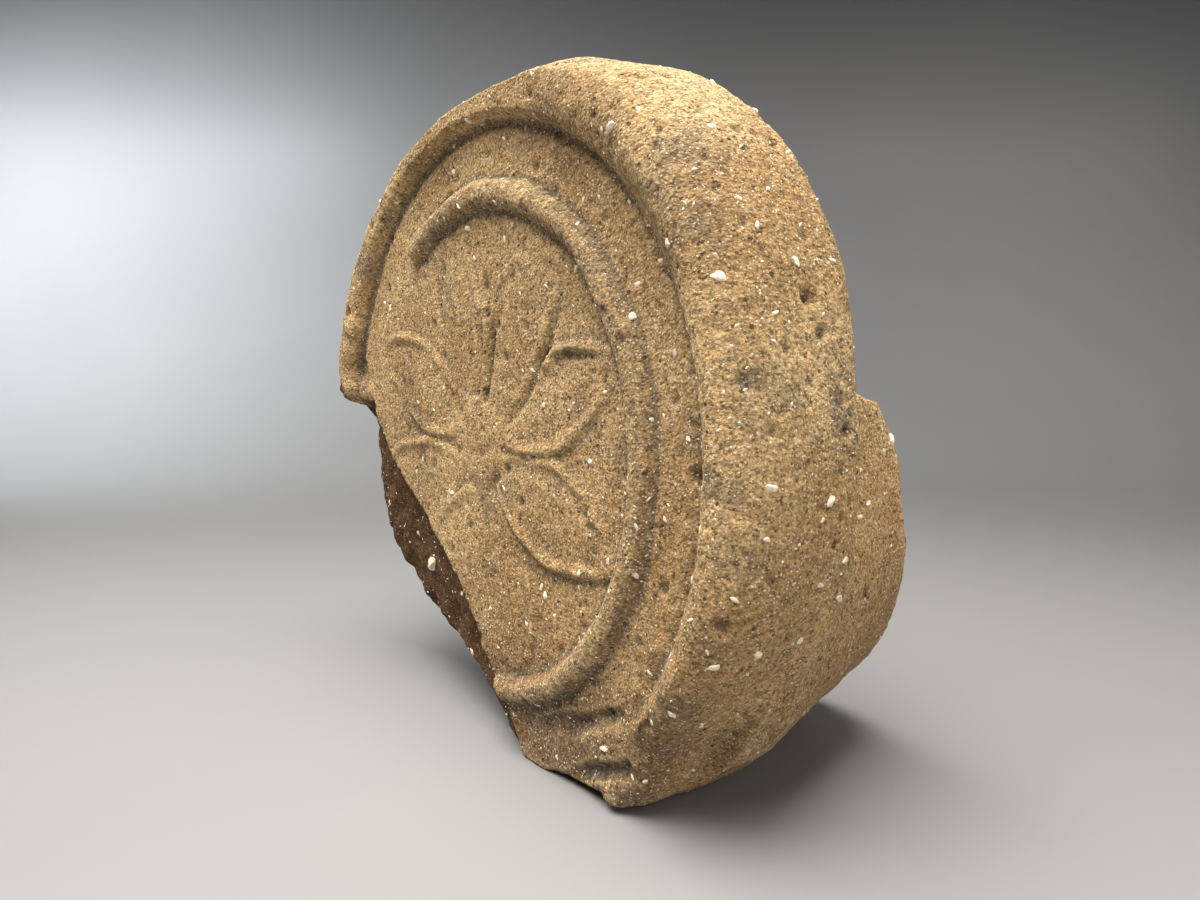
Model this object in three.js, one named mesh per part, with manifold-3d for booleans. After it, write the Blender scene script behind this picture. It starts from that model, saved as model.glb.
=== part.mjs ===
// Round eave end tile of coarse fired clay, broken at the lower left and along its underside.
// A disc carries an eight-petalled lotus in low relief inside a raised cord and a thick rounded
// rim, and behind it stands the stub of the barrel tile that it closed. It is all one piece.
//
// Millimetres. The face looks along -Y, the tile's axis runs along +Y, and +Z is up. The origin
// lies on the flat underside, below the middle of the weight and half way through the plate.

import * as THREE from "three";
import Module from "manifold-3d";

// Disc, rim and raised cord
const discDiameter = 180;
const plateThickness = 24;
const rimWidth = 16.7; // groove to outer side
const rimProud = 6; // crest above the face
const rimShoulder = 11; // depth at which the outer side turns straight
const rimFlare = 0.8; // growth of the radius towards the back
const backEdgeRadius = 3.5;
const bandWidth = 14.6; // groove to the middle of the cord
const grooveDepth = 1;
const grooveWidth = 3;
const cordWidth = 7.6;
const cordHeight = 2.8;
const wornCordHeight = 0.8;

// Lotus
const bossRadius = 10;
const bossHeight = 1.4;
const ribWidth = 3;
const ribHeight = 1.5;

// Barrel tile behind the disc
const barrelInset = 13.8; // from the disc's outer side to the barrel's
const barrelWall = 18;
const barrelShort = 30; // stub's length behind the plate at its upper end
const barrelLong = 57; // and where it is longest
const cornerLoss = 20; // length lost at the stub's upper corner
const cornerShare = 0.09; // share of the stub's arc over which that corner is lost
const lengthening = 1.4; // how late along its arc the stub grows long
const lowerEndShare = 0.35; // from short to long, where the stub's lower end lies
const flareFall = 1.15; // how fast the stub's flare falls off behind the plate
const stubRoot = 10; // how far the stub is rooted in the plate
const boreRecess = 3; // how far the stub's inner edge lies ahead of its outer edge
const innerFillet = 13;

// Stance and weathering
const centreHeight = 71; // disc's centre above what the tile stands on
const balance = 16; // from the disc's centre rightwards to the middle of the weight
const lean = 4.3; // degrees that the pattern has turned from upright
const wear = 0.5;
const wearLength = 46;
const stubWear = 0.8;
const stubWearLength = 38;
const stubEndRoughness = 2.4;
const stubEndLength = 31;
const stubEndAngle = 17; // degrees from one bump of the stub's end to the next
const breakRoughness = 1.5;
const breakAcrossLength = 19;
const breakUpLength = 16;
const undersideRoughness = 2.5;
const undersideLength = 34;
const undersideSlice = 11; // height at which the underside's unevenness is read
const undersideStretch = 0.8;
const undersideGap = 0.5; // how far the level part of the break lies below the flat seat

// Rise of the underside towards the right: where it starts and how steep it is, in the plate
// and further back in the stub.
const plateRiseStart = 50;
const plateRise = 0.8;
const stubRiseStart = 39.6;
const stubRise = 0.24;
const riseBlendStart = 20; // depth behind the face where the plate's rise gives way
const riseBlendEnd = 60;

// Sizes that follow from those above
const discRadius = discDiameter / 2;
const grooveRadius = discRadius - rimWidth;
const cordRadius = grooveRadius - bandWidth;
const barrelRadius = discRadius - barrelInset;
const barrelBore = barrelRadius - barrelWall;
const stubReach = plateThickness + barrelLong;
const breakReach = stubReach + 10;
const reach = 3 * discRadius;
const embed = 2; // how far an added form is rooted in what carries it

// Angles are in degrees round the face, anticlockwise from its right side.
const rimSteps = 96;
const cordStart = -92;
const cordEnd = 122;
const wornCordStart = 137;
const wornCordEnd = 176;
const rimFadeStart = -32;
const rimFadeEnd = -54;
const stubTop = 9;
const stubLowest = -58; // where the stub is longest
const stubEnd = -128;
const flareStart = -4;
const flareEnd = -38;

// The pressed disc isn't quite round: angle and growth of its radius, as a share of that radius.
const outOfRound = [
  [-180, -0.075],
  [-75, -0.045],
  [-56, -0.02],
  [-44, -0.065],
  [-20, -0.01],
  [5, -0.012],
  [25, 0.026],
  [45, 0.02],
  [62, -0.02],
  [80, -0.085],
  [103, -0.105],
  [125, -0.1],
  [150, -0.075],
  [180, -0.075],
];

// Petals: direction, tip and half widths to the left and right, as shares of the cord's radius.
const petalRoot = 0.15;
const bossPlace = [-0.02, 0.04];
const petals = [
  { angle: 150.6, tip: 0.95, left: 0.2, right: 0.15 },
  { angle: 100.3, tip: 0.82, left: 0.18, right: 0.18 },
  { angle: 49.3, tip: 0.88, left: 0.21, right: 0.16 },
  { angle: 14.9, tip: 0.92, left: 0.14, right: 0.19 },
  { angle: -28.6, tip: 0.94, left: 0.16, right: 0.2 },
  { angle: -77, tip: 0.92, left: 0.18, right: 0.16 },
  { angle: -120, tip: 0.9, left: 0.16, right: 0.17 },
  { angle: -165, tip: 0.92, left: 0.21, right: 0.15 },
];

// Break at the lower left, from the rim's upper broken end to the underside, as shares of the
// disc's radius: where it meets the face, and where it stands out furthest behind the face.
const breakOnFace = [
  [-1.02, 0.48],
  [-0.88, 0.29],
  [-0.8, 0.18],
  [-0.67, 0.14],
  [-0.575, -0.02],
  [-0.36, -0.185],
  [-0.16, -0.38],
  [-0.045, -0.545],
  [0.05, -0.655],
  [0.095, -0.76],
  [0.13, -0.83],
  [0.14, -1.1],
];
const breakBehind = [
  [-1.03, 0.42],
  [-0.94, 0.25],
  [-0.88, 0.13],
  [-0.815, 0.05],
  [-0.845, -0.07],
  [-0.855, -0.2],
  [-0.64, -0.41],
  [-0.42, -0.54],
  [-0.17, -0.65],
  [-0.07, -0.74],
  [-0.02, -0.85],
  [0, -1.1],
];
const breakBulgeDepth = 8; // depth behind the face where the break stands out furthest

// The groove under the cord at the foot of the tile, as shares of the cord's radius.
const footGroove = [
  [0.27, -1.04],
  [0.85, -0.88],
];
const footGrooveDepth = 1.3;
const footGrooveWidth = 3.4;

const wasm = await Module();
wasm.setup();

const radians = THREE.MathUtils.degToRad;
const { clamp, lerp, smoothstep } = THREE.MathUtils;

// Seamless unevenness between -1 and 1, with bumps of about the given size.
function uneven(x, y, z, size) {
  const k = (2 * Math.PI) / size;
  const a = Math.sin(k * (0.9 * x + 0.31 * y) + 1.3) * Math.cos(k * (0.83 * z - 0.27 * x));
  const b = Math.sin(k * (1.7 * y + 0.6 * z) + 0.4) * Math.cos(k * (1.43 * x + 0.5 * z) + 2.1);
  const c = Math.sin(k * (2.3 * z - 1.9 * x) + 3.7) * Math.cos(k * 2.6 * y + 0.9);
  return 0.5 * a + 0.3 * b + 0.2 * c;
}

// A point of the face's own frame: radius and angle round the axis, and depth behind the face.
function polar(radius, degrees, depth) {
  const a = radians(degrees);
  return new THREE.Vector3(radius * Math.cos(a), depth, radius * Math.sin(a));
}

// Radius of the disc's outer side at one angle.
function outerRadius(degrees) {
  const a = degrees > 180 ? degrees - 360 : degrees;
  const after = Math.max(1, outOfRound.findIndex(([angle]) => angle >= a));
  const [from, low] = outOfRound[after - 1];
  const [to, high] = outOfRound[after];
  return discRadius * (1 + lerp(low, high, smoothstep(a, from, to)));
}

function fromGeometry(geometry) {
  return new wasm.Manifold(
    new wasm.Mesh({
      numProp: 3,
      vertProperties: geometry.attributes.position.array,
      triVerts: new Uint32Array(geometry.index.array),
    }),
  );
}

function toGeometry(solid) {
  const mesh = solid.getMesh();
  const geometry = new THREE.BufferGeometry();
  geometry.setAttribute("position", new THREE.BufferAttribute(mesh.vertProperties, 3));
  geometry.setIndex(new THREE.BufferAttribute(mesh.triVerts, 1));
  return geometry;
}

// Turns a closed set of triangles into a solid whose faces look outwards.
function toSolid(points, triangles) {
  const side = new THREE.Vector3();
  const volume = triangles.reduce((sum, a, i) => {
    if (i % 3) {
      return sum;
    }
    side.crossVectors(points[triangles[i + 1]], points[triangles[i + 2]]);
    return sum + points[a].dot(side);
  }, 0);
  const geometry = new THREE.BufferGeometry();
  const positions = points.flatMap((p) => [p.x, p.y, p.z]);
  geometry.setAttribute("position", new THREE.Float32BufferAttribute(positions, 3));
  geometry.setIndex(volume < 0 ? triangles.toReversed() : triangles);
  return fromGeometry(geometry);
}

// A solid skinned over closed rings of equally many points, with a fan over each end.
function ringSolid(rings) {
  const count = rings[0].length;
  const points = rings.flat();
  const triangles = [];
  for (let j = 0; j < rings.length - 1; j += 1) {
    for (let i = 0; i < count; i += 1) {
      const a = j * count + i;
      const b = j * count + ((i + 1) % count);
      triangles.push(a, b, b + count, a, b + count, a + count);
    }
  }
  for (const [start, flip] of [
    [0, true],
    [(rings.length - 1) * count, false],
  ]) {
    const middle = new THREE.Vector3();
    for (let i = 0; i < count; i += 1) {
      middle.addScaledVector(points[start + i], 1 / count);
    }
    points.push(middle);
    for (let i = 0; i < count; i += 1) {
      const edge = [start + i, start + ((i + 1) % count)];
      triangles.push(points.length - 1, ...(flip ? edge.toReversed() : edge));
    }
  }
  return toSolid(points, triangles);
}

// A solid between two sheets of points, rows of equally many, closed along its four edges.
function sheetSolid(near, far) {
  const rows = near.length;
  const columns = near[0].length;
  const points = [...near.flat(), ...far.flat()];
  const behind = rows * columns;
  const triangles = [];
  const quad = (a, b, c, d) => triangles.push(a, b, c, a, c, d);
  for (let j = 0; j < rows - 1; j += 1) {
    for (let i = 0; i < columns - 1; i += 1) {
      const a = j * columns + i;
      quad(a, a + 1, a + columns + 1, a + columns);
      quad(behind + a, behind + a + columns, behind + a + columns + 1, behind + a + 1);
    }
  }
  const edge = (a, b) => quad(b, a, behind + a, behind + b);
  for (let i = 0; i < columns - 1; i += 1) {
    edge(i, i + 1);
    edge((rows - 1) * columns + i + 1, (rows - 1) * columns + i);
  }
  for (let j = 0; j < rows - 1; j += 1) {
    edge((j + 1) * columns, j * columns);
    edge((j + 1) * columns - 1, (j + 2) * columns - 1);
  }
  return toSolid(points, triangles);
}

// A raised bar along a path on the face, domed across and rooted in the clay. rise(s) is its
// height along the path, and a negative one makes a tool for cutting a groove.
function bar(path, steps, width, rise) {
  const across = [-1, -0.6, 0, 0.6, 1];
  const rings = [];
  for (let i = 0; i <= steps; i += 1) {
    const s = i / steps;
    const here = path(s);
    const along = path(Math.min(s + 0.01, 1)).sub(path(Math.max(s - 0.01, 0)));
    const side = new THREE.Vector3(-along.z, 0, along.x).setLength(width / 2);
    const height = rise(s);
    const root = height > 0 ? embed : -embed;
    const ring = across.map((a) => {
      const lift = height * (1 - a * a);
      return here.clone().addScaledVector(side, a).add(new THREE.Vector3(0, -lift, 0));
    });
    ring.push(here.clone().addScaledVector(side, 1).setY(root));
    ring.push(here.clone().addScaledVector(side, -1).setY(root));
    rings.push(ring);
  }
  return ringSolid(rings);
}

// How far the rim still stands proud: it is worn off at the foot of the tile.
function rimShare(degrees) {
  const down = degrees > 180 ? degrees - 360 : degrees;
  if (down < -100) {
    return 1;
  }
  return smoothstep(down, rimFadeEnd, rimFadeStart);
}

// The disc's section at one angle, from the face over the rim to the back, as radius and depth.
function discSection(degrees) {
  const proud = rimProud * lerp(0.03, 1, rimShare(degrees));
  const outer = outerRadius(degrees);
  const crest = lerp(grooveRadius, outer, lerp(0.75, 0.42, rimShare(degrees)));
  const section = [
    [grooveRadius - grooveWidth, 0],
    [grooveRadius - 0.3 * grooveWidth, grooveDepth],
    [grooveRadius + 0.3 * grooveWidth, 0.4 * grooveDepth],
    [lerp(grooveRadius, crest, 0.55), -0.75 * proud],
    [crest, -proud],
  ];
  const flankSteps = 4;
  for (let i = 1; i <= flankSteps; i += 1) {
    const a = (Math.PI / 2) * (i / flankSteps);
    const depth = rimShoulder - (rimShoulder + proud) * Math.cos(a);
    section.push([lerp(crest, outer, Math.sin(a)), depth]);
  }
  const back = outer + rimFlare;
  section.push([back, plateThickness - backEdgeRadius]);
  section.push([back - 0.3 * backEdgeRadius, plateThickness - 0.3 * backEdgeRadius]);
  section.push([back - backEdgeRadius, plateThickness]);
  section.push([grooveRadius, plateThickness]);
  return section;
}

function disc() {
  const sections = [];
  for (let i = 0; i < rimSteps; i += 1) {
    const degrees = (360 * i) / rimSteps;
    sections.push(
      discSection(degrees).map(([radius, depth]) => {
        const p = polar(radius, degrees, depth);
        const worn = radius > grooveRadius + grooveWidth ? wear : 0;
        return polar(radius + worn * uneven(p.x, p.y, p.z, wearLength), degrees, depth);
      }),
    );
  }
  const rings = sections[0].map((_, j) => sections.map((section) => section[j]));
  return ringSolid(rings);
}

// Length of the barrel's stub behind the plate, at one angle.
function stubLength(degrees) {
  if (degrees > stubLowest) {
    const s = (stubTop - degrees) / (stubTop - stubLowest);
    const lost = cornerLoss * Math.max(0, 1 - s / cornerShare) ** 1.5;
    return lerp(barrelShort, barrelLong, s ** lengthening) - lost;
  }
  const s = (stubLowest - degrees) / (stubLowest - stubEnd);
  return lerp(barrelLong, lerp(barrelShort, barrelLong, lowerEndShare), s);
}

function barrelStub() {
  const around = 32;
  const along = 7;
  const outer = [];
  const inner = [];
  for (let j = 0; j <= along; j += 1) {
    const outerRow = [];
    const innerRow = [];
    for (let i = 0; i <= around; i += 1) {
      const degrees = lerp(stubTop, stubEnd, i / around);
      const s = j / along;
      const flare = barrelInset * smoothstep(-degrees, -flareStart, -flareEnd);
      const bumps = uneven(degrees, 0, stubEndLength * s, stubEndAngle) * s;
      const ragged = stubEndRoughness * bumps;
      const depth = plateThickness + lerp(-stubRoot, stubLength(degrees) + ragged, s);
      const behind = clamp((depth - plateThickness) / barrelLong, 0, 1);
      const fillet = clamp(1 - (depth - plateThickness) / innerFillet, 0, 1) ** 2;
      const p = polar(barrelRadius, degrees, depth);
      const worn = stubWear * uneven(p.x, p.y, p.z, stubWearLength);
      const swell = flare * (1 - behind) ** flareFall - 1 + worn;
      outerRow.push(polar(barrelRadius + swell, degrees, depth));
      const bore = barrelBore - innerFillet * fillet;
      innerRow.push(polar(bore - worn, degrees, depth - boreRecess * s + 0.5 * ragged));
    }
    outer.push(outerRow);
    inner.push(innerRow);
  }
  return sheetSolid(outer, inner);
}

function cordPath(start, end) {
  return (s) => polar(cordRadius, lerp(start, end, s), 0);
}

function cord() {
  const steps = 66;
  return bar(cordPath(cordStart, cordEnd), steps, cordWidth, () => cordHeight);
}

function wornCord() {
  const steps = 10;
  const rise = (s) => wornCordHeight * Math.min(1, 0.2 + 4 * s);
  return bar(cordPath(wornCordStart, wornCordEnd), steps, cordWidth, rise);
}

// One side of a petal's outline: it leaves the boss, bows out and closes at the tip.
function petalRib(petal, sign) {
  const a = radians(petal.angle);
  const half = sign * (sign > 0 ? petal.left : petal.right);
  const path = (s) => {
    const u = cordRadius * lerp(petalRoot, petal.tip, s);
    const w = cordRadius * half * Math.sin(Math.PI * s ** 0.9) ** 0.85;
    const x = cordRadius * bossPlace[0] + u * Math.cos(a) - w * Math.sin(a);
    const z = cordRadius * bossPlace[1] + u * Math.sin(a) + w * Math.cos(a);
    return new THREE.Vector3(x, 0, z);
  };
  return bar(path, 9, ribWidth, (s) => ribHeight * lerp(0.45, 1, Math.sin(Math.PI * s)));
}

function boss() {
  const steps = 20;
  const rings = [
    [1.15, embed],
    [1.15, 0],
    [0.95, -0.6 * bossHeight],
    [0.7, -bossHeight],
    [0.35, -bossHeight],
  ].map(([share, depth]) => {
    const ring = [];
    for (let i = 0; i < steps; i += 1) {
      const p = polar(share * bossRadius, (360 * i) / steps, depth);
      p.x += cordRadius * bossPlace[0];
      p.z += cordRadius * bossPlace[1];
      ring.push(p);
    }
    return ring;
  });
  return ringSolid(rings);
}

function footGrooveCut() {
  const [from, to] = footGroove.map(([x, z]) => {
    return new THREE.Vector3(x * cordRadius, 0, z * cordRadius);
  });
  const path = (s) => from.clone().lerp(to, s);
  return bar(path, 6, footGrooveWidth, (s) => -footGrooveDepth * Math.sin(Math.PI * s) ** 0.5);
}

// What is lost at the lower left. The break runs out behind the face and back in again.
function lowerLeftLoss() {
  const curves = [breakOnFace, breakBehind].map((outline) => {
    const points = outline.map(([x, z]) => new THREE.Vector3(x * discRadius, 0, z * discRadius));
    return new THREE.CatmullRomCurve3(points);
  });
  const columns = 40;
  const levels = [
    [-2 * rimProud, 0],
    [0, 0],
    [0.35 * breakBulgeDepth, 0.55],
    [breakBulgeDepth, 1],
    [0.6 * plateThickness, 0.97],
    [plateThickness, 0.86],
    [plateThickness + 0.35 * barrelLong, 0.7],
    [plateThickness + 0.7 * barrelLong, 0.5],
    [breakReach, 0.3],
  ];
  const away = new THREE.Vector3(-0.8, 0, -0.59).multiplyScalar(reach);
  const near = [];
  for (const [depth, share] of levels) {
    const row = [];
    for (let i = 0; i <= columns; i += 1) {
      const p = curves[0].getPoint(i / columns).lerp(curves[1].getPoint(i / columns), share);
      const rough = breakRoughness * (depth > 0 ? 1 : 0.5);
      p.x += rough * uneven(p.x, depth, p.z, breakAcrossLength);
      p.z += rough * uneven(p.z, p.x, depth, breakUpLength);
      row.push(p.setY(depth));
    }
    near.push(row);
  }
  const far = near.map((row) => row.map((p) => p.clone().add(away)));
  return sheetSolid(near, far);
}

// What is lost below, in the standing tile's frame: nearly level under the disc, and rising
// towards the right. Where this cut leaves bumps, the flat seat is cut through them.
function undersideLoss() {
  const columns = 30;
  const rows = 16;
  const near = [];
  for (let j = 0; j <= rows; j += 1) {
    const row = [];
    for (let i = 0; i <= columns; i += 1) {
      const x = lerp(-discRadius, 1.2 * discRadius, i / columns);
      const y = lerp(-4 * rimProud, breakReach, j / rows);
      const steep = plateRise * Math.max(0, x - plateRiseStart);
      const gentle = stubRise * Math.max(0, x - stubRiseStart);
      const rise = lerp(steep, gentle, smoothstep(y, riseBlendStart, riseBlendEnd));
      const slice = undersideStretch * y;
      const bumps = undersideRoughness * uneven(x, slice, undersideSlice, undersideLength);
      row.push(new THREE.Vector3(x, y, rise + bumps - centreHeight - undersideGap));
    }
    near.push(row);
  }
  const far = near.map((row) => row.map((p) => p.clone().setZ(-centreHeight - reach)));
  return sheetSolid(near, far);
}

function flatSeatCut() {
  const top = -centreHeight;
  const corner = (x, y) => new THREE.Vector3(x, y, top);
  const near = [
    [corner(-reach, -reach), corner(reach, -reach)],
    [corner(-reach, reach), corner(reach, reach)],
  ];
  const far = near.map((row) => row.map((p) => p.clone().setZ(top - reach)));
  return sheetSolid(near, far);
}

function eaveTile() {
  let tile = disc().add(barrelStub());
  tile = tile.add(cord()).add(wornCord()).add(boss());
  for (const petal of petals) {
    tile = tile.add(petalRib(petal, 1)).add(petalRib(petal, -1));
  }
  tile = tile.subtract(footGrooveCut()).subtract(lowerLeftLoss());
  const turned = fromGeometry(toGeometry(tile).rotateY(-radians(lean)));
  const standing = turned.subtract(undersideLoss()).subtract(flatSeatCut());
  const geometry = toGeometry(standing).translate(-balance, -plateThickness / 2, centreHeight);
  geometry.computeVertexNormals();
  return geometry;
}

const firedClay = new THREE.MeshStandardMaterial({
  color: new THREE.Color().setRGB(0.5, 0.36, 0.24, THREE.SRGBColorSpace),
  roughness: 0.92,
  metalness: 0,
});

const tileMesh = new THREE.Mesh(eaveTile(), firedClay);
tileMesh.name = "eave_tile";

const model = new THREE.Group();
model.add(tileMesh);

export default model;
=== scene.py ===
"""Round eave end tile of coarse fired clay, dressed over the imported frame.

Shapes are worked out in millimetres and turned into metres when a mesh is made. The face of the
tile looks along -Y. Its own frame has u to the right, v up and t into the clay, turned by LEAN.
"""

import math

import bmesh
import bpy
import numpy as np
from mathutils import Matrix, Vector
from mathutils.bvhtree import BVHTree
from mathutils.kdtree import KDTree


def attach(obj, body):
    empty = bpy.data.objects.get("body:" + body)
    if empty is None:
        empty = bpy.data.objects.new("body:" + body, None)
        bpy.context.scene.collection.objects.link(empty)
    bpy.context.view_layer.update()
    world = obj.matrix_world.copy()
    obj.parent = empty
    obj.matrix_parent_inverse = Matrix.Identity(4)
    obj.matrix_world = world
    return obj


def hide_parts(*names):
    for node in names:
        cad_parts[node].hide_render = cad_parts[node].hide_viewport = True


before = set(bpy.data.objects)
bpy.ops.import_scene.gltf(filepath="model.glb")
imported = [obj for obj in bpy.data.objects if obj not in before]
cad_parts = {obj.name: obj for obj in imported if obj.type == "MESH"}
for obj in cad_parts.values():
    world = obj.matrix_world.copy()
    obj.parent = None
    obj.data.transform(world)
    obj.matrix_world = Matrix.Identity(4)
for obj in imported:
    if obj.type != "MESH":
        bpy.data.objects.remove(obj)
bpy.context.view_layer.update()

MM = 0.001
SEED = 7

# Where the face lies in the part, and the measures that the solid follows
CENTRE = np.array([-16.0, -12.0, 71.0])
LEAN = math.radians(4.3)
DISC_RADIUS = 90.0
PLATE = 24.0
GROOVE_RADIUS = 73.3
CORD_RADIUS = 58.7
RIM_PROUD = 6.0
RIM_SHOULDER = 11.0
BARREL_RADIUS = 76.2
BARREL_BORE = 58.2
FLARE, FLARE_RUN = 13.8, 57.0
NECK, NECK_RUN = 13.0, 13.0
# angle in degrees, and the share by which the outline lies further out there
OUT_OF_ROUND = [
    (-180, -0.075), (-75, -0.045), (-56, -0.02), (-44, -0.065), (-20, -0.01), (5, -0.012),
    (25, 0.026), (45, 0.02), (62, -0.02), (80, -0.085), (103, -0.105), (125, -0.1),
    (150, -0.075), (180, -0.075),
]  # fmt: skip

# The camera of the photograph, as solved from the circles in it
CAMERA_AT = Vector((161.9, -116.3, 89.5))
CAMERA_LOOK = Vector((-0.7834, 0.6142, -0.0950)).normalized()
CAMERA_RIGHT = Vector((0.6170, 0.7870, 0.0)).normalized()
CAMERA_UP = CAMERA_RIGHT.cross(CAMERA_LOOK)
IMAGE = (1200, 900)
FOCAL = 866.0

# Fineness of the mesh, rounds of smoothing, and how many pits there are
VOXEL = 1.45
CREST_ROUNDS = 45
END_ROUNDS = 28
SPREAD_ROUNDS = 6
LEVEL_ROUNDS = 6
PIT_COUNT = 620


def smooth(x, low, high):
    s = np.clip((x - low) / (high - low), 0.0, 1.0)
    return s * s * (3.0 - 2.0 * s)


def to_face(p):
    """Part coordinates to the face's own u, v and t."""
    d = p - CENTRE
    c, s = math.cos(LEAN), math.sin(LEAN)
    return c * d[:, 0] + s * d[:, 2], c * d[:, 2] - s * d[:, 0], d[:, 1]


def pixel_ray(px, py):
    across = (px - IMAGE[0] / 2) / FOCAL
    down = (py - IMAGE[1] / 2) / FOCAL
    return (CAMERA_LOOK + across * CAMERA_RIGHT - down * CAMERA_UP).normalized()


def face_under(px, py):
    """Where the photograph's pixel meets the plane of the face, as u and v."""
    ray = pixel_ray(px, py)
    hit = CAMERA_AT + ray * ((CENTRE[1] - CAMERA_AT.y) / ray.y)
    across, up, _ = to_face(np.array([hit]))
    return across[0], up[0]


class Noise:
    """Seeded gradient noise and cell noise over arrays of points."""

    def __init__(self, seed):
        rng = np.random.default_rng(seed)
        self.table = np.concatenate([rng.permutation(256)] * 2)
        g = rng.normal(size=(256, 3))
        self.grad = g / np.linalg.norm(g, axis=1, keepdims=True)
        self.point = rng.random((256, 3))

    def lattice(self, i):
        t = self.table
        return t[(t[(t[i[:, 0] & 255] + i[:, 1]) & 255] + i[:, 2]) & 255]

    def __call__(self, p, size):
        q = p / size
        i = np.floor(q).astype(int)
        f = q - i
        w = f * f * f * (f * (f * 6 - 15) + 10)
        total = np.zeros(len(p))
        for corner in np.ndindex(2, 2, 2):
            c = np.array(corner)
            weight = np.prod(np.where(c, w, 1 - w), axis=1)
            total += weight * np.sum(self.grad[self.lattice(i + c)] * (f - c), axis=1)
        return 1.6 * total

    def layers(self, p, sizes):
        return sum(height * self(p + 31.7 * k, size) for k, (size, height) in enumerate(sizes))

    def lumps(self, p, size):
        """Rounded lumps between 0 and 1, as packed grains give them."""
        q = p / size
        i = np.floor(q).astype(int)
        best = np.full(len(p), 9.0)
        for corner in np.ndindex(3, 3, 3):
            cell = i + np.array(corner) - 1
            spot = cell + self.point[self.lattice(cell)]
            best = np.minimum(best, np.sum((q - spot) ** 2, axis=1))
        return np.clip(1.0 - best, 0.0, 1.0)


noise = Noise(SEED)


def curve_through(points, closed=False, per=7):
    """A smooth polyline through a few points, each of two numbers or more."""
    p = np.array(points, float)
    if closed:
        p = np.vstack([p[-1], p, p[0], p[1]])
    else:
        p = np.vstack([2 * p[0] - p[1], p, 2 * p[-1] - p[-2]])
    out = []
    for k in range(1, len(p) - 2):
        a, b, c, d = p[k - 1 : k + 3]
        for s in np.linspace(0, 1, per, endpoint=False):
            straight = 2 * b + (c - a) * s
            bent = (2 * a - 5 * b + 4 * c - d) * s**2 + (3 * b - a - 3 * c + d) * s**3
            out.append(0.5 * (straight + bent))
    out.append(p[-2])
    return np.array(out)


def along_curve(u, v, line):
    """Distance from a polyline and its third value at the nearest point; and which lie inside."""
    best = np.full(len(u), 1e9)
    value = np.zeros(len(u))
    inside = np.zeros(len(u), bool)
    for a, b in zip(line[:-1], line[1:]):
        d = b[:2] - a[:2]
        step = max(np.hypot(*d), 1e-6)
        s = np.clip(((u - a[0]) * d[0] + (v - a[1]) * d[1]) / step**2, 0, 1)
        gap = np.hypot(u - a[0] - s * d[0], v - a[1] - s * d[1])
        near = gap < best
        best = np.where(near, gap, best)
        value = np.where(near, a[2] + s * (b[2] - a[2]), value)
        if d[1]:
            crosses = (v > a[1]) != (v > b[1])
            inside ^= crosses & (u < a[0] + (v - a[1]) * d[0] / d[1])
    return best, value, inside


# ---- Relief of the face. Each petal is a closed curve in shares of the cord's radius; the third
# number is how much of its ridge is left there. Then its height in mm.
PETALS = [
    (1.15, [(-0.13, 0.17, 0.5), (-0.30, 0.345, 1), (-0.48, 0.46, 1.1), (-0.67, 0.51, 1.1),
            (-0.80, 0.50, 0.8), (-0.85, 0.42, 0.5), (-0.76, 0.28, 0.8), (-0.56, 0.115, 0.9),
            (-0.44, 0.07, 0.9), (-0.20, 0.06, 0.6)]),
    (1.1, [(-0.08, 0.17, 0.5), (-0.20, 0.24, 0.4), (-0.28, 0.44, 0.2), (-0.265, 0.6, 0.2),
           (-0.25, 0.74, 0.3), (-0.17, 0.82, 0.3), (-0.09, 0.81, 0.3), (-0.03, 0.72, 0.6),
           (0.03, 0.59, 1.1), (0.085, 0.50, 1.2), (0.075, 0.36, 1.2), (0.02, 0.21, 1)]),
    (1.1, [(0.08, 0.2, 0.2), (0.115, 0.36, 0.2), (0.12, 0.49, 0.5), (0.18, 0.61, 0.8),
           (0.28, 0.67, 0.7), (0.38, 0.72, 0.6), (0.49, 0.72, 0.5), (0.575, 0.67, 0.6),
           (0.575, 0.575, 0.7), (0.54, 0.48, 0.8), (0.39, 0.28, 0.9), (0.22, 0.14, 0.2)]),
    (1.2, [(0.24, 0.12, 0.1), (0.39, 0.22, 0.2), (0.50, 0.31, 1.1), (0.61, 0.335, 1.3),
           (0.73, 0.33, 0.9), (0.83, 0.30, 0.5), (0.86, 0.24, 0.1), (0.80, 0.16, 0.4),
           (0.71, 0.08, 0.8), (0.61, 0.02, 0.9), (0.46, -0.025, 1.0), (0.21, 0.0, 0.8)]),
    (1.2, [(0.21, -0.05, 0.6), (0.46, -0.06, 0.9), (0.56, -0.10, 1), (0.71, -0.23, 0.7),
           (0.82, -0.36, 0.2), (0.79, -0.43, 0.7), (0.69, -0.445, 1.1), (0.44, -0.435, 1.1),
           (0.25, -0.33, 1.1), (0.115, -0.16, 0.7)]),
    (0.7, [(0.09, -0.22, 0.6), (0.26, -0.44, 0.9), (0.31, -0.65, 1), (0.24, -0.82, 0.8),
           (0.1, -0.84, 0.3), (0.02, -0.6, 0.3), (-0.02, -0.3, 0.4)]),
    (0.9, [(-0.08, -0.19, 0.8), (-0.3, -0.25, 1.1), (-0.45, -0.36, 1), (-0.42, -0.6, 0.3),
           (-0.2, -0.75, 0.3), (-0.06, -0.5, 0.3)]),
    (1.0, [(-0.2, -0.05, 0.6), (-0.41, 0.02, 1), (-0.57, 0.02, 1), (-0.82, -0.02, 0.8),
           (-0.86, -0.2, 0.2), (-0.6, -0.35, 0.4), (-0.39, -0.3, 0.8), (-0.2, -0.14, 0.8)]),
]  # fmt: skip
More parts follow.
